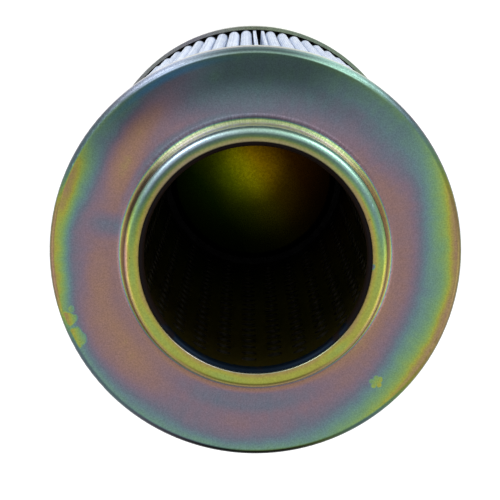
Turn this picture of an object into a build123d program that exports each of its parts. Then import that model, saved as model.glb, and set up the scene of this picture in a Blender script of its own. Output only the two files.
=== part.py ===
from build123d import *
import os
from math import asin, cos, degrees, radians, sin, sqrt

# Pleated hydraulic filter element, standing on its closed end cap with the open neck up.
# Origin at the centre of the closed cap's underside, +Z along the axis. Millimetres.
# The seam of the pleat pack faces +Y.

# ---- whole element ----
overall_length = 175.5      # underside of the closed cap to the front of the neck
cap_radius = 47.5           # both caps
cap_sheet = 1.0             # steel sheet that both caps are pressed from
cap_rim_radius = 1.5        # rounded outer edge of both caps, on the outside

# ---- open end cap ----
open_skirt_depth = 9.0
neck_radius = 30.0          # outside of the drawn neck
neck_height = 7.5           # face of the cap to the front of the neck
neck_root_radius = 2.8      # hollow curve from the face up into the neck
neck_shoulder_radius = 1.5
lip_width = 3.5             # neck's outside to the inner edge of the lip turned in at its front
lip_edge_radius = 0.3

# ---- closed end cap ----
closed_skirt_depth = 9.0
boss_tube_gap = 1.8         # raised disc inside the core tube that it centres
boss_height = 4.5           # top of the disc above the underside
boss_root_radius = 2.0
boss_shoulder_radius = 2.0

# ---- neck seal ----
seal_section = 3.6          # thickness of the O-ring's cord

# ---- core tube ----
tube_wall = 0.8
tube_neck_clearance = 0.2   # tube inside the neck
tube_seal_clearance = 0.1   # tube's end below the O-ring
hole_diameter = 3.8
hole_columns = 28           # an even number, so that the stagger closes around the tube
hole_turn = -0.9            # degrees from +X round to the first column
hole_pitch = 7.4            # along one column; neighbouring columns are half a pitch on
plain_tube_end = 9.0        # unpunched strip beyond the caps' resin

# ---- pleat pack ----
pleat_count = 74            # folds on the outside; the seam takes the place of one more
media_thickness = 0.9
pack_skirt_clearance = 0.3  # outer folds inside the caps' skirts
pack_tube_clearance = 0.1   # inner folds outside the core tube
outer_valley = 0.45         # gap between neighbouring outer folds
inner_valley = 0.3          # gap between neighbouring inner folds
seam_bead_depth = 0.6       # share of a flank's length that the seam's bead fills

# ---- resin beds in the caps ----
open_bed_thickness = 3.0
closed_bed_thickness = 2.5
tube_end_in_bed = 1.0       # resin under the core tube's lower end

# ---- worked out from the above ----
face_z = overall_length - neck_height
neck_inner_radius = neck_radius - cap_sheet
tube_outer_radius = neck_inner_radius - tube_neck_clearance
tube_inner_radius = tube_outer_radius - tube_wall
spigot_bore_radius = neck_radius - lip_width
boss_radius = tube_inner_radius - boss_tube_gap
skirt_inner_radius = cap_radius - cap_sheet
seal_centre_radius = neck_inner_radius - seal_section / 2
seal_centre_z = overall_length - cap_sheet - seal_section / 2
tube_bottom_z = cap_sheet + tube_end_in_bed
open_bed_z = face_z - cap_sheet - open_bed_thickness
closed_bed_z = cap_sheet + closed_bed_thickness
pack_outer_radius = skirt_inner_radius - pack_skirt_clearance
pack_inner_radius = tube_outer_radius + pack_tube_clearance


def turned(section):
    """Solid of revolution about Z from a face drawn as radius and height."""
    return revolve(Plane.XZ * section, Axis.Z)


def pressed(corners, radii, side):
    """Turned sheet: the outer surface runs through the corners, the sheet lies on one side of it."""
    surface = FilletPolyline(*corners, radius=radii)
    return turned(make_face(offset(surface, amount=cap_sheet, side=side, closed=True)))


def bed(corners, rounds):
    """Turned resin: its section has these corners, and each round is a corner and its radius."""
    section = make_face(Polyline(*corners, close=True))
    for corner, radius in rounds:
        section = fillet(section.vertices().sort_by_distance(corner)[0], radius)
    return turned(section)


def open_end_cap():
    corners = [
        (cap_radius, face_z - open_skirt_depth),
        (cap_radius, face_z),
        (neck_radius, face_z),
        (neck_radius, overall_length),
        (spigot_bore_radius, overall_length),
    ]
    cap = pressed(corners, [cap_rim_radius, neck_root_radius, neck_shoulder_radius], Side.LEFT)
    rings = cap.edges().filter_by(GeomType.CIRCLE).group_by(Axis.Z)[-1]
    return fillet(rings.sort_by(SortBy.RADIUS)[0], lip_edge_radius)


def closed_end_cap():
    recess_radius = boss_radius - cap_sheet
    recess_height = boss_height - cap_sheet
    corners = [
        (cap_radius, closed_skirt_depth),
        (cap_radius, 0),
        (recess_radius, 0),
        (recess_radius, recess_height),
        (0, recess_height),
    ]
    radii = [cap_rim_radius, boss_root_radius, boss_shoulder_radius - cap_sheet]
    return pressed(corners, radii, Side.RIGHT)


def neck_o_ring():
    return Pos(0, 0, seal_centre_z) * Torus(seal_centre_radius, seal_section / 2)


def tube_top():
    """Height at which the tube's inner edge meets the underside of the O-ring, less the clearance."""
    inwards = max(tube_inner_radius - seal_centre_radius, 0)
    drop = sqrt(max((seal_section / 2) ** 2 - inwards**2, 0))
    return seal_centre_z - drop - tube_seal_clearance


def core_tube():
    """Tube with punched columns of holes, each column half a pitch on from its neighbours."""
    length = tube_top() - tube_bottom_z
    wall = Cylinder(tube_outer_radius, length) - Cylinder(tube_inner_radius, length)
    tube = Pos(0, 0, tube_bottom_z + length / 2) * wall
    lowest = closed_bed_z + plain_tube_end
    highest = open_bed_z - plain_tube_end
    rows = int((highest - lowest) / hole_pitch)
    first_z = (lowest + highest - (rows - 0.5) * hole_pitch) / 2
    punches = []
    for column in range(hole_columns):
        stagger = 0.5 * (column % 2)
        turn = Rot(0, 0, hole_turn + column * 360 / hole_columns)
        for row in range(rows):
            z = first_z + (row + stagger) * hole_pitch
            punch = Cylinder(hole_diameter / 2, 4 * tube_wall)
            punches.append(turn * Pos(tube_outer_radius, 0, z) * Rot(0, 90, 0) * punch)
    return tube - punches


class Fold:
    """Section of one pleat with its axis along X: two round folds and the flank that joins them."""

    def __init__(self):
        self.pitch = radians(360 / (pleat_count + 1))
        half = sin(self.pitch / 2)
        self.outer = (pack_outer_radius * half - outer_valley / 2) / (1 + half)
        self.inner = (pack_inner_radius * half - inner_valley / 2) / (1 - half)
        self.outer_centre = Vector(pack_outer_radius - self.outer, 0)
        reach = pack_inner_radius + self.inner
        self.inner_centre = Vector(reach * cos(self.pitch / 2), reach * half)
        across = self.inner_centre - self.outer_centre
        turn = asin((self.outer + self.inner - media_thickness) / across.length)
        along = across.normalized()
        self.normal = along * sin(turn) + Vector(along.Y, -along.X) * cos(turn)

    def upstream(self):
        """Ends of the flank's outward side, from the outer fold to the inner fold."""
        start = self.outer_centre + self.normal * self.outer
        return start, self.inner_centre - self.normal * (self.inner - media_thickness)

    def downstream(self):
        """Ends of the flank's inward side, from the outer fold to the inner fold."""
        start = self.outer_centre + self.normal * (self.outer - media_thickness)
        return start, self.inner_centre - self.normal * self.inner


def at_pleat(point, number, pitch, mirrored=False):
    """The point of the section moved to pleat of this number; the seam is number 0 and faces +Y."""
    side = -point.Y if mirrored else point.Y
    return Vector(point.X, side).rotate(Axis.Z, 90 + degrees(pitch) * number)


def media_side(fold, ends, outer_top, inner_top):
    """Edges of one side of the folded sheet, from one end leaf round to the other."""
    at_outer, at_inner = ends
    edges = []
    for number in range(pleat_count + 1):
        here = at_pleat(at_inner, number, fold.pitch)
        crown = at_pleat(Vector(inner_top, 0), number + 0.5, fold.pitch)
        there = at_pleat(at_inner, number + 1, fold.pitch, mirrored=True)
        edges.append(ThreePointArc(here, crown, there))
        if number == pleat_count:
            break
        rising = at_pleat(at_outer, number + 1, fold.pitch, mirrored=True)
        crown = at_pleat(Vector(outer_top, 0), number + 1, fold.pitch)
        falling = at_pleat(at_outer, number + 1, fold.pitch)
        edges.append(Line(there, rising))
        edges.append(ThreePointArc(rising, crown, falling))
        edges.append(Line(falling, at_pleat(at_inner, number + 1, fold.pitch)))
    return edges


def pleated_media():
    """One folded sheet; its two end leaves stand apart at the seam, with no fold over them."""
    fold = Fold()
    top_in = pack_outer_radius - media_thickness
    bottom_out = pack_inner_radius + media_thickness
    up_start, up_end = fold.upstream()
    down_start, down_end = fold.downstream()
    outward = (up_start - up_end).normalized() * fold.outer
    outside = media_side(fold, (up_start, up_end), pack_outer_radius, bottom_out)
    inside = media_side(fold, (down_start, down_end), top_in, pack_inner_radius)
    leaves = []
    for number, mirrored in ((0, False), (pleat_count + 1, True)):
        tip_out = at_pleat(up_start + outward, number, fold.pitch, mirrored)
        tip_in = at_pleat(down_start + outward, number, fold.pitch, mirrored)
        root_out = at_pleat(up_end, number, fold.pitch, mirrored)
        root_in = at_pleat(down_end, number, fold.pitch, mirrored)
        leaves += [Line(root_out, tip_out), Line(tip_out, tip_in), Line(tip_in, root_in)]
    section = make_face(Wire(outside + inside + leaves))
    return extrude(Pos(0, 0, closed_bed_z) * section, open_bed_z - closed_bed_z, dir=(0, 0, 1))


def seam_bead():
    """Resin that fills the inner part of the slot between the two end leaves."""
    fold = Fold()
    start, end = fold.downstream()
    outer = end + (start - end) * seam_bead_depth
    corners = [
        at_pleat(outer, 0, fold.pitch),
        at_pleat(end, 0, fold.pitch),
        at_pleat(end, 0, fold.pitch, mirrored=True),
        at_pleat(outer, 0, fold.pitch, mirrored=True),
    ]
    section = make_face(Polyline(*corners, close=True))
    return extrude(Pos(0, 0, closed_bed_z) * section, open_bed_z - closed_bed_z, dir=(0, 0, 1))


def open_end_resin():
    """Ring of resin under the cap's face, between the core tube and the skirt."""
    top = face_z - cap_sheet
    corners = [
        (tube_outer_radius, open_bed_z),
        (skirt_inner_radius, open_bed_z),
        (skirt_inner_radius, top),
        (tube_outer_radius, top),
    ]
    return bed(corners, [(corners[2], cap_rim_radius - cap_sheet)])


def closed_end_resin():
    """Ring of resin on the closed cap's floor, with a groove in which the core tube stands."""
    corners = [
        (boss_radius, cap_sheet),
        (skirt_inner_radius, cap_sheet),
        (skirt_inner_radius, closed_bed_z),
        (tube_outer_radius, closed_bed_z),
        (tube_outer_radius, tube_bottom_z),
        (tube_inner_radius, tube_bottom_z),
        (tube_inner_radius, closed_bed_z),
        (boss_radius, closed_bed_z),
    ]
    rounds = [(corners[0], boss_root_radius - cap_sheet), (corners[1], cap_rim_radius - cap_sheet)]
    return bed(corners, rounds)


nodes = {
    "open_end_cap": open_end_cap,
    "neck_o_ring": neck_o_ring,
    "core_tube": core_tube,
    "pleated_media": pleated_media,
    "seam_bead": seam_bead,
    "open_end_resin": open_end_resin,
    "closed_end_resin": closed_end_resin,
    "closed_end_cap": closed_end_cap,
}

os.makedirs("parts", exist_ok=True)
for name, make in nodes.items():
    export_step(make(), f"parts/{name}.step")
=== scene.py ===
from math import cos, pi, radians, sin

import bpy
from mathutils import Matrix, Vector

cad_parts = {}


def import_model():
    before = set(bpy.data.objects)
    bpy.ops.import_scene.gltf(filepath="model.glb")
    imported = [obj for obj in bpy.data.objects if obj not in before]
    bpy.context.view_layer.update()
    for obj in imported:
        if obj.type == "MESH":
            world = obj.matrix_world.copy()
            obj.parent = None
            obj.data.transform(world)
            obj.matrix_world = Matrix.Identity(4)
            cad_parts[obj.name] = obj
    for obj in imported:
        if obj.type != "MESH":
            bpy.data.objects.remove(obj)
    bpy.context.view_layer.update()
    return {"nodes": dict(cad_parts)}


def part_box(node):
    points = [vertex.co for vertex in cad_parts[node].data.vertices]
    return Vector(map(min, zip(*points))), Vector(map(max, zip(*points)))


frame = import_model()
nodes = frame["nodes"]
MM = 0.001

# Sizes of the part that the finishes follow, in millimetres.
cap_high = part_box("open_end_cap")[1]
cap_radius = cap_high.x / MM
neck_front = cap_high.z / MM
neck_height = 7.5           # of the neck above the cap's face
neck_radius = 30.0          # outside of the neck
neck_shoulder = 1.5         # rounding of the neck's front edge
bore_radius = 26.5          # inner edge of the neck's lip
face_z = neck_front - neck_height
shoulder_z = neck_front - neck_shoulder
disc_height = 4.5           # of the disc above the closed cap's underside
disc_radius = 26.2
disc_round = 2.0            # rounded edge of the disc, on the side of the core tube
disc_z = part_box("closed_end_cap")[0].z / MM + disc_height
seam_turn = 2.1             # degrees from the middle of the camera's view, at the top, round to the seam
patch_ring = 40.0           # radius of the ring on which the patches of film are measured


def srgb(red, green, blue):
    """Scene colour of a colour given as it shows on a screen, 0 to 255."""
    out = []
    for part in (red, green, blue):
        part /= 255
        out.append(part / 12.92 if part <= 0.04045 else ((part + 0.055) / 1.055) ** 2.4)
    return (*out, 1.0)


class Finish:
    """A procedural material, built node by node; m in the functions that follow. Coordinates are the
    object's own, in millimetres, turned about the axis so that the seam lies seam_turn degrees from +Y
    towards +X."""

    def __init__(self, name):
        self.material = bpy.data.materials.new(name)
        self.material.use_nodes = True
        self.tree = self.material.node_tree
        self.tree.nodes.clear()
        out = self.add("ShaderNodeOutputMaterial")
        self.shader = self.add("ShaderNodeBsdfPrincipled")
        self.tree.links.new(self.shader.outputs["BSDF"], out.inputs["Surface"])
        metres = self.add("ShaderNodeTexCoord").outputs["Object"]
        turned = self.add("ShaderNodeVectorRotate", {"rotation_type": "Z_AXIS"}, Vector=metres)
        turned.inputs["Angle"].default_value = -radians(seam_turn)
        self.place = self.vector("SCALE", turned.outputs[0], scale=1000.0)
        split = self.add("ShaderNodeSeparateXYZ", Vector=self.place)
        self.x, self.y, self.z = split.outputs
        flat = self.vector("MULTIPLY", self.place, (1.0, 1.0, 0.0))
        self.radius = self.vector("LENGTH", flat)
        self.angle = self.math("ARCTAN2", self.x, self.y)

    def add(self, kind, _props=None, **inputs):
        node = self.tree.nodes.new(kind)
        for key, value in (_props or {}).items():
            setattr(node, key, value)
        for key, value in inputs.items():
            self.feed(node.inputs[key], value)
        return node

    def feed(self, socket, value):
        if isinstance(value, bpy.types.NodeSocket):
            self.tree.links.new(value, socket)
        else:
            socket.default_value = value

    def set(self, **inputs):
        for key, value in inputs.items():
            self.feed(self.shader.inputs[key.replace("_", " ")], value)

    def math(self, operation, *values):
        node = self.add("ShaderNodeMath", {"operation": operation})
        for socket, value in zip(node.inputs, values):
            self.feed(socket, value)
        return node.outputs[0]

    def vector(self, operation, *values, scale=None):
        node = self.add("ShaderNodeVectorMath", {"operation": operation})
        for socket, value in zip(node.inputs, values):
            self.feed(socket, value)
        if scale is not None:
            self.feed(node.inputs["Scale"], scale)
        return node.outputs["Value" if operation in ("LENGTH", "DOT_PRODUCT") else "Vector"]

    def total(self, *values):
        result = values[0]
        for value in values[1:]:
            result = self.math("ADD", result, value)
        return result

    def product(self, *values):
        result = values[0]
        for value in values[1:]:
            result = self.math("MULTIPLY", result, value)
        return result

    def darker(self, value, *shares):
        """value with the product of these shares taken off it."""
        return self.math("MULTIPLY", value, self.math("SUBTRACT", 1.0, self.product(*shares)))

    def span(self, value, start, end, to_start=0.0, to_end=1.0, smooth=True):
        """value from start to end becomes to_start to to_end, and stays there outside."""
        kind = "SMOOTHSTEP" if smooth else "LINEAR"
        names = ("Value", "From Min", "From Max", "To Min", "To Max")
        inputs = dict(zip(names, (value, start, end, to_start, to_end)))
        node = self.add("ShaderNodeMapRange", {"interpolation_type": kind}, **inputs)
        return node.outputs[0]

    def band(self, value, centre, half_width):
        """1 at centre, falling smoothly to 0 at half_width each side."""
        away = self.math("ABSOLUTE", self.math("SUBTRACT", value, centre))
        return self.span(away, 0.0, half_width, 1.0, 0.0)

    def noise(self, scale, detail=2.0, roughness=0.5, distortion=0.0, place=None, shift=0.0):
        place = self.place if place is None else place
        if shift:
            place = self.vector("ADD", place, (shift, 2 * shift, -shift))
        inputs = {"Vector": place, "Scale": scale, "Detail": detail, "Roughness": roughness}
        node = self.add("ShaderNodeTexNoise", Distortion=distortion, **inputs)
        return node.outputs["Fac"]

    def wobble(self, scale, amount, **options):
        """Noise about zero, as far as amount each way."""
        centred = self.math("SUBTRACT", self.noise(scale, **options), 0.5)
        return self.math("MULTIPLY", centred, 2 * amount)

    def cells(self, scale):
        return self.add("ShaderNodeTexVoronoi", Vector=self.place, Scale=scale).outputs["Distance"]

    def join(self, x, y, z):
        return self.add("ShaderNodeCombineXYZ", X=x, Y=y, Z=z).outputs[0]

    def blend(self, share, first, second):
        """The number first where share is 0, second where it is 1."""
        # sockets 2 and 3 of this node are its two numbers, 6 and 7 its two colours
        node = self.add("ShaderNodeMix", {"data_type": "FLOAT"}, Factor=share)
        self.feed(node.inputs[2], first)
        self.feed(node.inputs[3], second)
        return node.outputs[0]

    def along(self, angle):
        """Millimetres round the patch ring from this angle, which is in degrees from +Y towards +X."""
        apart = self.math("SUBTRACT", self.angle, radians(angle))
        return self.math("MULTIPLY", self.math("WRAP", apart, pi, -pi), patch_ring)

    def sector(self, angle, reach, amount, full=0.0):
        """A patch at any radius: amount at its angle and out to the share full of its reach, then less,
        and nothing past its reach along the patch ring."""
        away = self.math("DIVIDE", self.math("ABSOLUTE", self.along(angle)), reach)
        return self.span(away, full, 1.0, amount, 0.0)

    def arc(self, angle, radius, size, turn, amount, full=0.0, ragged=None):
        """An oval patch bent along the ring: amount in its middle, nothing outside. Its size is half its
        length along the patch ring and half its width; ragged is noise that breaks its edge."""
        along = self.along(angle)
        across = self.math("SUBTRACT", self.radius, radius)
        if turn:
            lean = radians(turn)
            first = self.math("MULTIPLY_ADD", across, sin(lean), self.math("MULTIPLY", along, cos(lean)))
            across = self.math("MULTIPLY_ADD", along, -sin(lean), self.math("MULTIPLY", across, cos(lean)))
            along = first
        spot = self.join(self.math("DIVIDE", along, size[0]), self.math("DIVIDE", across, size[1]), 0.0)
        away = self.vector("LENGTH", spot)
        if ragged is not None:
            away = self.math("ADD", away, ragged)
        return self.span(away, full, 1.0, amount, 0.0)

    def sectors(self, start, patches):
        """start with each of these sectors added to it."""
        for patch in patches:
            start = self.total(start, self.sector(*patch))
        return start

    def arcs(self, start, patches):
        """start with each of these arcs added to it."""
        for patch in patches:
            start = self.total(start, self.arc(*patch))
        return start

    def ramp(self, value, stops):
        node = self.add("ShaderNodeValToRGB", Fac=value)
        elements = node.color_ramp.elements
        while len(elements) < len(stops):
            elements.new(0.5)
        for element, (position, colour) in zip(elements, stops):
            element.position = position
            element.color = colour
        return node.outputs["Color"]

    def mix(self, share, first, second, blend="MIX"):
        node = self.add("ShaderNodeMix", {"data_type": "RGBA", "blend_type": blend})
        self.feed(node.inputs["Factor"], share)
        self.feed(node.inputs[6], first)
        self.feed(node.inputs[7], second)
        return node.outputs[2]

    def shade(self, colour, factor):
        """colour made lighter or darker by a number."""
        grey = self.add("ShaderNodeCombineColor", Red=factor, Green=factor, Blue=factor).outputs[0]
        return self.mix(1.0, colour, grey, blend="MULTIPLY")

    def bump(self, height, distance, normal=None):
        """distance is how far a height of 1 stands out, in millimetres."""
        node = self.add("ShaderNodeBump", Height=height, Distance=distance * MM)
        if normal is not None:
            self.feed(node.inputs["Normal"], normal)
        return node.outputs[0]


# ---- iridescent yellow chromate on zinc ----
# The film's colour repeats as it gets thicker: gold, tan, pink, mauve, slate, teal, green, yellow.
film_colours = [
    (0.00, srgb(160, 144, 84)),
    (0.11, srgb(153, 120, 103)),
    (0.24, srgb(144, 115, 113)),
    (0.37, srgb(130, 112, 125)),
    (0.50, srgb(111, 114, 129)),
    (0.60, srgb(105, 129, 136)),
    (0.68, srgb(108, 142, 131)),
    (0.78, srgb(119, 155, 112)),
    (0.88, srgb(141, 165, 88)),
    (0.95, srgb(162, 162, 72)),
    (1.00, srgb(160, 144, 84)),
]

# The film on the closed cap's disc, from its -X -Y side to its +X +Y side.
disc_colours = [
    (0.10, srgb(60, 92, 0)),
    (0.32, srgb(118, 132, 0)),
    (0.48, srgb(156, 150, 2)),
    (0.62, srgb(154, 122, 0)),
    (0.85, srgb(122, 74, 0)),
]

# Where the film on the open cap's face lies thicker or thinner. Each patch: angle from +Y towards +X
# in degrees, radius, half its length and half its width along the ring, turn, amount, full share.
face_film = [
    (106, 45, (42, 10.5), 0, 0.25, 0.45),
    (104, 48, (38, 5), 0, 0.16, 0.2),
    (128, 32.6, (22, 2.4), 0, -0.12, 0.1),
    (5, 36.0, (32, 8), 0, 0.14, 0.25),
    (2, 44.0, (30, 6), 0, -0.06, 0.2),
    (12, 42.0, (30, 3), 0, 0.07, 0.2),
    (52, 38.5, (14, 7), 0, 0.12, 0.2),
    (182, 34.4, (32, 4.4), 0, 0.20, 0.3),
    (190, 42, (22, 4), 0, -0.08, 0.3),
    (238, 39.5, (22, 7), 0, -0.20, 0.3),
    (262, 36.5, (10, 4), 0, -0.10, 0.3),
    (276, 47, (25, 5.5), 0, 0.28, 0.3),
    (292, 43.2, (12, 4.8), 0, 0.18, 0.2),
    (281, 34, (5, 7), 0, 0.25, 0.1),
    (310, 37.8, (17, 5), 14, -0.26, 0.15),
    (326, 40.5, (14, 6), 10, -0.16, 0.1),
    (336, 45, (14, 4), 0, -0.12, 0.1),
    (316, 32.4, (34, 1.8), 0, 0.18, 0.1),
]

# Runs of film at the rim, with ragged edges: angle, radius, size, amount.
rim_runs = [
    (250.5, 45.7, (1.7, 2.3), 0.26),
    (244.6, 46.2, (2.6, 2.6), 0.26),
    (253.0, 44.4, (0.9, 0.8), 0.16),
]

# A drop that dried on the face: a middle with petals round it.
drop_angle = 137.0
drop_radius = 41.1
drop_size = (0.6, 0.6)
drop_petals = 5
petal_shift = (1.45, 0.95)  # degrees round and millimetres out from the drop's middle
petal_size = (0.75, 0.75)
drop_amount = 0.25

# Round the rim, in sectors: angle, reach, amount, full share. rim_film is how thick the film lies,
# rim_highlight_zinc the share of pale zinc in a painted highlight, rim_painted_highlight the least value
# along the crest, also a painted highlight. rim_shade_sectors is added to rim_painted_shade, painted shade
# that dulls the rim: not to both sides of +Y, and most at -Y.
rim_film = [
    (100, 36, 0.44, 0.4),
    (270, 21, 0.46, 0.3),
    (328, 18, -0.10, 0.2),
    (170, 20, 0.26, 0.3),
    (206, 14, -0.10, 0.2),
]
rim_highlight_zinc = [(0, 36, 0.45, 0.4), (26, 14, 0.55), (334, 16, 0.55)]
rim_painted_highlight = [(0, 38, 0.75, 0.4), (26, 14, 0.35), (334, 16, 0.35)]
# painted shade on the rim
rim_painted_shade = 0.45
rim_shade_sectors = [(0, 36, -0.45, 0.4), (0, 15, 0.45, 0.2), (182, 30, 0.54, 0.2)]

# Painted shade on the face, mostly near +Y: where it is darker or, below zero, lighter again. Patches as
# in face_film.
face_painted_shade = [
    (358, 46, (50, 14), 0, 0.72, 0.3),
    (308, 44, (26, 8), 0, 0.14, 0.2),
    (334, 44, (14, 6), 0, -0.16, 0.2),
    (33, 43, (14, 6), 0, -0.16, 0.2),
]
deepest_face_shade = 0.80

# Paler zinc that shows through the film, and the tint of the painted highlights, from -X to +X.
zinc_and_highlight_colours = [(0.0, srgb(202, 220, 248)), (0.5, srgb(186, 220, 206)), (1.0, srgb(190, 244, 222))]
zinc_span = 22.0
deep_blue = srgb(62, 132, 176)


def speckle(m, shift):
    """The satin grain of the pressed and plated sheet: broad peel and fine grain, 0 to 1."""
    peel = m.noise(1.1, detail=3.0, roughness=0.6, shift=shift)
    grain = m.noise(2.9, detail=3.0, roughness=0.75, shift=2 * shift)
    return peel, grain


def plated(m, phase, value, shift, rough=(0.27, 0.40), bare=0.0, blue=0.0):
    """Colour, peel and grain of a zinc surface whose film has this phase and this value, 1 being its full
    colour; bare is the share of pale zinc that shows through it, real or a painted highlight, blue the
    share of deep blue film."""
    peel, grain = speckle(m, shift)
    value = m.math("MULTIPLY", value, m.span(grain, 0.28, 0.72, 0.74, 1.24, smooth=False))
    colour = m.ramp(m.math("FRACT", m.math("ADD", phase, 2.0)), film_colours)
    colour = m.mix(bare, colour, m.ramp(m.span(m.x, -zinc_span, zinc_span), zinc_and_highlight_colours))
    colour = m.mix(blue, colour, deep_blue)
    m.set(Metallic=1.0, Roughness=m.span(peel, 0.2, 0.8, *rough))
    return m.shade(colour, value), peel, grain


def dried_drop(m, ragged):
    drop = m.arc(drop_angle, drop_radius, drop_size, 0, drop_amount, 0.8)
    for number in range(drop_petals):
        lean = 2 * pi * number / drop_petals
        angle = drop_angle + petal_shift[0] * sin(lean)
        radius = drop_radius + petal_shift[1] * cos(lean)
        petal = m.arc(angle, radius, petal_size, 0, drop_amount, 0.6, ragged)
        drop = m.math("MAXIMUM", drop, petal)
    return drop


def face_phase(m, ragged):
    """Film on the face, from the neck out to the rim."""
    ring = m.join(m.product(m.angle, 12.0), m.product(m.radius, 0.05), 0.0)
    out = m.span(m.radius, neck_radius + 2.6, cap_radius - 1.3, smooth=False)
    phase = m.total(m.product(m.math("POWER", out, 1.6), 0.45), 0.24)
    phase = m.total(phase, m.wobble(1.6, 0.05, place=ring, detail=3.0, roughness=0.6))
    phase = m.total(phase, m.wobble(0.07, 0.09, detail=2.0))
    phase = m.total(phase, m.wobble(0.45, 0.03))
    phase = m.arcs(phase, face_film)
    for angle, radius, size, amount in rim_runs:
        phase = m.total(phase, m.arc(angle, radius, size, 0, amount, 0.7, ragged))
    return m.total(phase, dried_drop(m, ragged))


def neck_phase(m, upper, ragged):
    """Film on the neck: its wall, and its front from the lip out to the shoulder."""
    wall = m.total(1.04, m.wobble(0.2, 0.05, shift=2.0), m.product(upper, -0.10))
    front = m.span(m.radius, bore_radius, bore_radius + 1.4, 1.03, 0.93, smooth=False)
    front = m.total(front, m.span(m.radius, bore_radius + 2.1, neck_radius - 0.1, 0.0, 0.12))
    cool = m.span(m.radius, bore_radius + 0.7, bore_radius + 2.3, 0.0, -0.30)
    front = m.total(front, m.product(m.sector(6, 68, 1.0, 0.6), cool))
    front = m.total(front, m.arc(270, neck_radius + 0.2, (14, 2), 0, 0.14, 0.2))
    front = m.total(front, m.wobble(0.12, 0.07, shift=5.0))
    front = m.total(front, m.arc(94, bore_radius, (1.3, 0.9), 0, -0.55, 0.2, ragged))
    return m.blend(m.span(m.z, shoulder_z - 0.3, shoulder_z + 0.4), wall, front)


def rim_phase(m):
    """Film round the rim and down the skirt."""
    skirt = m.total(1.0, m.wobble(0.13, 0.14, shift=9.0), m.sector(180, 60, 0.06, 0.2))
    rim = m.sectors(m.total(0.60, m.wobble(0.06, 0.08, shift=4.0)), rim_film)
    side = m.blend(m.span(m.z, face_z - 2.6, face_z - 1.5), skirt, 0.36)
    return m.blend(m.span(m.z, face_z - 1.2, face_z - 0.6), side, rim)


def cap_phase(m, upper, rounding):
    """Film all over the open cap. At the foot of the neck it is gold near -Y."""
    ragged = m.wobble(0.55, 0.55, detail=2.0, shift=7.0)
    foot = m.total(face_phase(m, ragged), m.product(upper, 0.10))
    gold = m.product(m.sector(172, 56, 0.85, 0.5), m.span(m.radius, neck_radius + 3.2, neck_radius + 1.8))
    foot = m.blend(gold, foot, 0.08)
    neck = neck_phase(m, upper, ragged)
    inner = m.blend(m.span(m.radius, neck_radius + 0.9, neck_radius + 1.7), neck, foot)
    return m.blend(rounding, inner, rim_phase(m))


def outer_painted_shade(m, upper, rounding):
    """Painted shade on the face and the rim, at the neck's root and on its side towards -X -Y."""
    # painted shade on the face near +Y
    dark = m.arcs(0.0, face_painted_shade)
    dark = m.math("MAXIMUM", m.math("MINIMUM", dark, deepest_face_shade), 0.0)
    value = m.darker(1.0, dark, m.math("SUBTRACT", 1.0, rounding))
    # painted shade round the rim, most at -Y
    value = m.darker(value, m.sectors(rim_painted_shade, rim_shade_sectors), rounding)
    # painted dark reflection line at the rim's bend near +Y
    value = m.darker(value, m.band(m.radius, cap_radius - 0.68, 0.32), m.sector(0, 44, 0.38, 0.5))
    # painted shade in the neck's root, strongest near +Y
    root = m.band(m.radius, neck_radius + 1.5, 1.1)
    value = m.darker(value, root, m.span(upper, 0.0, 1.0, 0.15, 0.78))
    # painted shadow at the neck's foot towards -X -Y
    return m.darker(value, m.band(m.radius, neck_radius + 0.8, 0.9), m.sector(228, 52, 0.5, 0.4))


def neck_painted_light_and_marks(m, value, upper):
    """value made darker by painted shade on the neck's lip, front and shoulder and by a real speck and
    scratch, and lighter by a painted highlight on its wall near +Y.
    """
    # painted shade on the lip's edge, less towards -Y
    lip = m.span(m.radius, bore_radius + 0.35, bore_radius + 0.1)
    value = m.darker(value, lip, m.span(m.y, -14.0, -24.0, 0.5, 0.1))
    speck = m.arc(270.4, bore_radius + 2.0, (0.22, 0.22), 0, 0.9, 0.5)
    scratch = m.arc(70.9, bore_radius + 0.65, (0.16, 0.5), 20, 0.7, 0.5)
    value = m.darker(value, m.total(speck, scratch))
    # painted shade on the front ring near +Y, less at the lip
    front = m.span(m.radius, bore_radius + 2.7, bore_radius + 1.8)
    less_at_lip = m.span(m.radius, bore_radius + 0.5, bore_radius + 1.4, 0.4, 1.0)
    value = m.darker(value, front, m.sector(348, 62, 0.62, 0.4), less_at_lip)
    # painted dark reflection line round the shoulder near +Y, and a painted shade line inside it near -Y
    line = m.product(m.band(m.radius, neck_radius - 0.25, 0.45), upper, 0.75)
    low_line = m.product(m.band(m.radius, neck_radius - 0.9, 0.5), m.sector(180, 34, 0.6, 0.3))
    value = m.darker(value, m.total(line, low_line), m.span(m.z, shoulder_z, shoulder_z + 0.2))
    # painted shade on the shoulder towards -X +Y
    shoulder = m.span(m.radius, neck_radius + 1.0, neck_radius + 0.5)
    shoulder = m.product(shoulder, m.span(m.z, neck_front, shoulder_z))
    value = m.darker(value, shoulder, m.sector(298, 13, 0.5, 0.3))
    # painted highlight on the wall near +Y
    wall = m.span(m.z, shoulder_z + 0.1, shoulder_z - 0.4)
    wall = m.product(wall, m.span(m.radius, neck_radius + 0.7, neck_radius + 0.3))
    return m.product(value, m.total(1.0, m.product(wall, m.sector(22, 58, 1.1, 0.5))))


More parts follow.
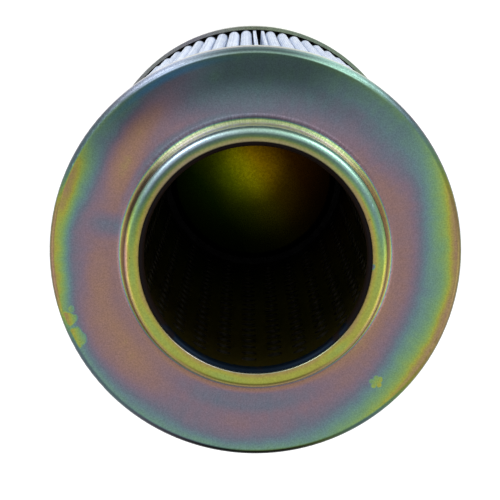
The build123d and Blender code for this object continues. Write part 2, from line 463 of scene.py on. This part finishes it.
def pale_zinc_and_highlights(m, upper, rounding, crest):
    """Share of paler zinc: painted highlight on the neck and the rim near +Y and on the lip towards -Y,
    and real paler zinc on the skirt.
    """
    # painted highlight on the neck's wall and shoulder near +Y
    neck = m.product(m.span(m.radius, neck_radius + 1.3, neck_radius + 0.8), upper)
    neck = m.product(neck, m.span(m.radius, bore_radius + 1.7, bore_radius + 2.4, 0.12, 0.66))
    neck = m.product(neck, m.span(m.z, shoulder_z, shoulder_z - 0.4, 1.0, 0.45))
    # painted highlight on the lip's edge towards -Y
    lip = m.span(m.radius, bore_radius + 0.30, bore_radius + 0.05)
    neck = m.total(neck, m.product(lip, m.span(m.y, -12.0, -24.0, 0.0, 0.4)))
    # painted highlight on the rim's crest near +Y
    rim = m.product(m.sectors(0.0, rim_highlight_zinc), m.math("MAXIMUM", crest, m.product(rounding, 0.5)))
    # real paler zinc on the skirt
    skirt = m.span(m.z, face_z - 1.5, face_z - 3.0, 0.0, 0.42)
    return m.math("MAXIMUM", m.math("MAXIMUM", neck, rim), skirt)


def draw_marks(m):
    """Marks of the press that run up the neck's wall and through its root."""
    drawn = m.join(m.product(m.angle, 30.0), 0.0, m.product(m.total(m.z, m.radius), 0.12))
    marks = m.noise(3.4, place=drawn, detail=4.0, roughness=0.7)
    marks = m.product(marks, m.span(m.radius, neck_radius + 2.9, neck_radius + 2.2))
    return m.product(marks, m.span(m.radius, neck_radius - 0.5, neck_radius - 0.1))


def open_cap_finish():
    """upper is 1 near +Y, rounding is 1 on the rim and the skirt, and crest is 1 on the rim's crest."""
    m = Finish("cap_zinc_open_end")
    upper = m.sector(0, 50, 1.0, 0.45)
    rounding = m.span(m.radius, cap_radius - 1.4, cap_radius - 0.8)
    crest = m.band(m.radius, cap_radius - 1.2, 0.5)
    phase = cap_phase(m, upper, rounding)
    value = neck_painted_light_and_marks(m, outer_painted_shade(m, upper, rounding), upper)
    # painted highlight along the rim's crest near +Y
    value = m.math("MAXIMUM", value, m.product(crest, m.sectors(0.0, rim_painted_highlight)))
    bare = pale_zinc_and_highlights(m, upper, rounding, crest)
    marks = draw_marks(m)
    # the real press marks lighten the value up to 1.7 times, most near +Y: a painted glint on them there
    shown = m.product(marks, m.total(upper, 0.25))
    value = m.product(value, m.span(shown, 0.35, 0.80, 0.90, 1.7, smooth=False))
    blue = m.arc(333, 45.2, (20, 1.4), 0, 0.6, 0.1)
    colour, peel, grain = plated(m, phase, value, 3.0, bare=bare, blue=blue)
    m.set(Base_Color=colour, Normal=m.bump(grain, 0.008, m.bump(peel, 0.014, m.bump(marks, 0.03))))
    return m.material


def disc_inside(m):
    """1 on the side of the closed cap's disc that faces into the core tube."""
    out = m.math("MAXIMUM", m.math("SUBTRACT", m.radius, disc_radius - disc_round), 0.0)
    up = m.math("MAXIMUM", m.math("SUBTRACT", m.z, disc_z - disc_round), 0.0)
    depth = m.vector("LENGTH", m.join(out, up, 0.0))
    inside = m.span(depth, disc_round - 0.6, disc_round - 0.4)
    return m.product(inside, m.span(m.radius, 28.0, 27.0), m.span(m.z, 1.6, 2.4))


def disc_film_and_glow(m):
    """The disc's film under a painted pool of light: bright in the middle, dark out to its edge."""
    lean = m.total(0.5, m.product(m.x, 0.022), m.product(m.y, 0.014), m.wobble(0.1, 0.06))
    away = m.join(m.product(m.total(m.x, 0.9), 0.92), m.math("SUBTRACT", m.y, 2.2), 0.0)
    away = m.total(m.vector("LENGTH", away), m.wobble(0.15, 1.2, shift=6.0))
    # painted pool of light on the disc
    painted_glow = m.total(m.span(away, 1.0, 12.5, 0.64, 0.0), m.span(away, 4.0, 26.0, 0.28, 0.04))
    return m.shade(m.ramp(lean, disc_colours), painted_glow)


def closed_cap_finish():
    m = Finish("cap_zinc_closed_end")
    phase = m.total(1.03, m.wobble(0.05, 0.24), m.wobble(0.4, 0.04))
    colour, peel, grain = plated(m, phase, 0.50, 8.0, rough=(0.24, 0.32), bare=0.42)
    m.set(Base_Color=m.mix(disc_inside(m), colour, disc_film_and_glow(m)))
    m.set(Normal=m.bump(grain, 0.001, m.bump(peel, 0.003)))
    return m.material


def tube_finish():
    m = Finish("core_steel")
    peel, grain = speckle(m, 13.0)
    drawn = m.vector("MULTIPLY", m.place, (1.0, 1.0, 0.08))
    lines = m.noise(2.5, place=drawn, detail=3.0)
    # the hue is the steel's own; its darkness is partly painted shade for the inside of the bore
    colour = m.ramp(lines, [(0.3, srgb(50, 50, 6)), (0.55, srgb(66, 58, 8)), (0.75, srgb(68, 48, 8))])
    # the punched edges face along the wall; their cut steel is bare
    own = m.add("ShaderNodeTexCoord").outputs["Normal"]
    outward = m.vector("NORMALIZE", m.vector("MULTIPLY", m.place, (1.0, 1.0, 0.0)))
    cut = m.span(m.math("ABSOLUTE", m.vector("DOT_PRODUCT", own, outward)), 0.75, 0.45)
    colour = m.mix(cut, colour, srgb(46, 43, 32))
    m.set(Base_Color=colour, Metallic=0.7)
    m.set(Roughness=m.span(peel, 0.2, 0.8, 0.34, 0.50))
    m.set(Normal=m.bump(grain, 0.006, m.bump(lines, 0.01)))
    return m.material


def media_finish():
    """Fleece under a woven wire mesh."""
    m = Finish("filter_media")
    mesh_pitch = 0.7
    cross = m.math("SINE", m.product(m.z, 2 * pi / mesh_pitch))
    way_round = m.total(m.radius, m.product(m.angle, 46))
    down = m.math("SINE", m.product(way_round, 2 * pi / mesh_pitch))
    weave = m.math("MAXIMUM", cross, down)
    fleece = m.noise(2.2, detail=4.0, roughness=0.65)
    streak = m.noise(0.8, place=m.vector("MULTIPLY", m.place, (1.0, 1.0, 0.06)), detail=3.0)
    tone = m.product(m.total(fleece, streak), 0.5)
    fleece_colours = [(0.35, srgb(196, 210, 236)), (0.5, srgb(216, 228, 248)), (0.66, srgb(232, 240, 252))]
    colour = m.ramp(tone, fleece_colours)
    gaps = m.span(weave, -0.2, 0.7, 0.80, 1.0)
    m.set(Base_Color=m.shade(colour, gaps), Roughness=m.span(weave, -1.0, 1.0, 0.85, 0.5))
    m.set(Normal=m.bump(fleece, 0.05, m.bump(weave, 0.05)))
    return m.material


def rubber_finish():
    m = Finish("seal_rubber")
    fine = m.noise(7.0, detail=3.0)
    # random oily patches, and a painted sheen that grows towards -Y: the seal goes navy, glossier and more
    # specular there
    film = m.total(m.noise(0.35, detail=2.0, shift=4.0), m.span(m.y, -8.0, -25.0, -0.2, 0.3))
    oil_and_sheen = m.span(film, 0.45, 0.75)
    colour = m.ramp(oil_and_sheen, [(0.0, srgb(24, 16, 10)), (1.0, srgb(5, 12, 20))])
    m.set(Base_Color=colour, Roughness=m.span(oil_and_sheen, 0.0, 1.0, 0.5, 0.36))
    m.set(Specular_IOR_Level=m.span(oil_and_sheen, 0.0, 1.0, 0.07, 0.16), Specular_Tint=srgb(130, 175, 235))
    m.set(Normal=m.bump(fine, 0.004))
    return m.material


def resin_finish():
    m = Finish("resin")
    bubbles = m.span(m.cells(0.9), 0.0, 0.35)
    swirl = m.noise(0.5, detail=3.0, distortion=0.6)
    colour = m.ramp(swirl, [(0.3, srgb(7, 7, 8)), (0.7, srgb(14, 13, 14))])
    m.set(Base_Color=colour, Roughness=m.span(swirl, 0.3, 0.7, 0.40, 0.60), Specular_IOR_Level=0.12)
    m.set(Normal=m.bump(bubbles, 0.03))
    return m.material


def dress(name, material):
    piece = nodes[name]
    piece.data.materials.clear()
    piece.data.materials.append(material)


dress("open_end_cap", open_cap_finish())
dress("closed_end_cap", closed_cap_finish())
dress("core_tube", tube_finish())
dress("pleated_media", media_finish())
dress("neck_o_ring", rubber_finish())
resin = resin_finish()
for name in ("seam_bead", "open_end_resin", "closed_end_resin"):
    dress(name, resin)


# ---- camera: in front of the neck, a little to the +Y side of the axis ----
def camera():
    tilt = radians(8.47)
    yaw = radians(-0.11)
    # the eye's place from a point on the axis inside the neck, in metres
    middle = Vector((0, 0, (face_z + 6.0) * MM))
    left = 0.00126
    rise = 0.0018
    back = 0.42278
    ahead = Vector((0, -sin(tilt), -cos(tilt)))
    up = Vector((0, cos(tilt), -sin(tilt)))
    right = Vector((1, 0, 0))
    right, ahead = right * cos(yaw) + ahead * sin(yaw), ahead * cos(yaw) - right * sin(yaw)
    eye = middle - right * left + up * rise - ahead * back
    data = bpy.data.cameras.new("camera")
    data.sensor_width = 36.0
    data.lens = 134.2
    data.clip_start = 0.01
    thing = bpy.data.objects.new("camera", data)
    bpy.context.scene.collection.objects.link(thing)
    axes = Matrix((right, up, -ahead)).transposed()
    turn = Matrix.Rotation(radians(seam_turn), 4, "Z")
    thing.matrix_world = turn @ Matrix.Translation(eye) @ axes.to_4x4()
    bpy.context.scene.camera = thing


# ---- white studio ----
white = (1.0, 1.0, 1.0, 1.0)
floor_grey = (0.86, 0.86, 0.86, 1.0)
floor_lift = 0.45           # brings the floor up to white where it is seen directly
world_light = 0.55
floor_reach = 3.0


def lamp(name, place, target, width, height, power):
    data = bpy.data.lights.new(name, "AREA")
    data.shape = "RECTANGLE"
    data.size = width
    data.size_y = height
    data.energy = power
    thing = bpy.data.objects.new(name, data)
    bpy.context.scene.collection.objects.link(thing)
    thing.location = place
    thing.rotation_euler = (Vector(target) - Vector(place)).to_track_quat("-Z", "Y").to_euler()


def seen_directly(tree):
    """1 for rays that show the surroundings: camera, glossy and transmission rays."""
    path = tree.nodes.new("ShaderNodeLightPath")
    share = path.outputs["Is Camera Ray"]
    for name in ("Is Glossy Ray", "Is Transmission Ray"):
        node = tree.nodes.new("ShaderNodeMath")
        node.operation = "MAXIMUM"
        tree.links.new(share, node.inputs[0])
        tree.links.new(path.outputs[name], node.inputs[1])
        share = node.outputs[0]
    return share


def world():
    thing = bpy.data.worlds.new("studio")
    bpy.context.scene.world = thing
    thing.use_nodes = True
    tree = thing.node_tree
    tree.nodes.clear()
    out = tree.nodes.new("ShaderNodeOutputWorld")
    light = tree.nodes.new("ShaderNodeBackground")
    light.inputs["Strength"].default_value = world_light
    shown = tree.nodes.new("ShaderNodeBackground")
    mix = tree.nodes.new("ShaderNodeMixShader")
    tree.links.new(seen_directly(tree), mix.inputs[0])
    for number, node in ((1, light), (2, shown)):
        node.inputs["Color"].default_value = white
        tree.links.new(node.outputs[0], mix.inputs[number])
    tree.links.new(mix.outputs[0], out.inputs[0])


def floor():
    mesh = bpy.data.meshes.new("floor")
    signs = [(-1, -1), (1, -1), (1, 1), (-1, 1)]
    corners = [(x * floor_reach, y * floor_reach, 0) for x, y in signs]
    mesh.from_pydata(corners, [], [(0, 1, 2, 3)])
    thing = bpy.data.objects.new("floor", mesh)
    bpy.context.scene.collection.objects.link(thing)
    material = bpy.data.materials.new("floor")
    material.use_nodes = True
    tree = material.node_tree
    shader = tree.nodes["Principled BSDF"]
    shader.inputs["Base Color"].default_value = floor_grey
    shader.inputs["Roughness"].default_value = 0.8
    shader.inputs["Emission Color"].default_value = white
    lift = tree.nodes.new("ShaderNodeMath")
    lift.operation = "MULTIPLY"
    tree.links.new(seen_directly(tree), lift.inputs[0])
    lift.inputs[1].default_value = floor_lift
    tree.links.new(lift.outputs[0], shader.inputs["Emission Strength"])
    mesh.materials.append(material)


camera()
world()
floor()
lamp("upper_left", (-0.50, 0.62, 0.55), (0, 0, 0.12), 0.32, 0.5, 2.2)
lamp("upper_right", (0.52, 0.62, 0.55), (0, 0, 0.12), 0.32, 0.5, 2.2)
lamp("left", (-0.9, -0.2, 0.5), (0, 0, 0.1), 0.6, 0.6, 2.0)
lamp("right", (0.9, -0.3, 0.5), (0, 0, 0.1), 0.6, 0.6, 2.0)
bpy.context.scene.view_settings.view_transform = "Standard"
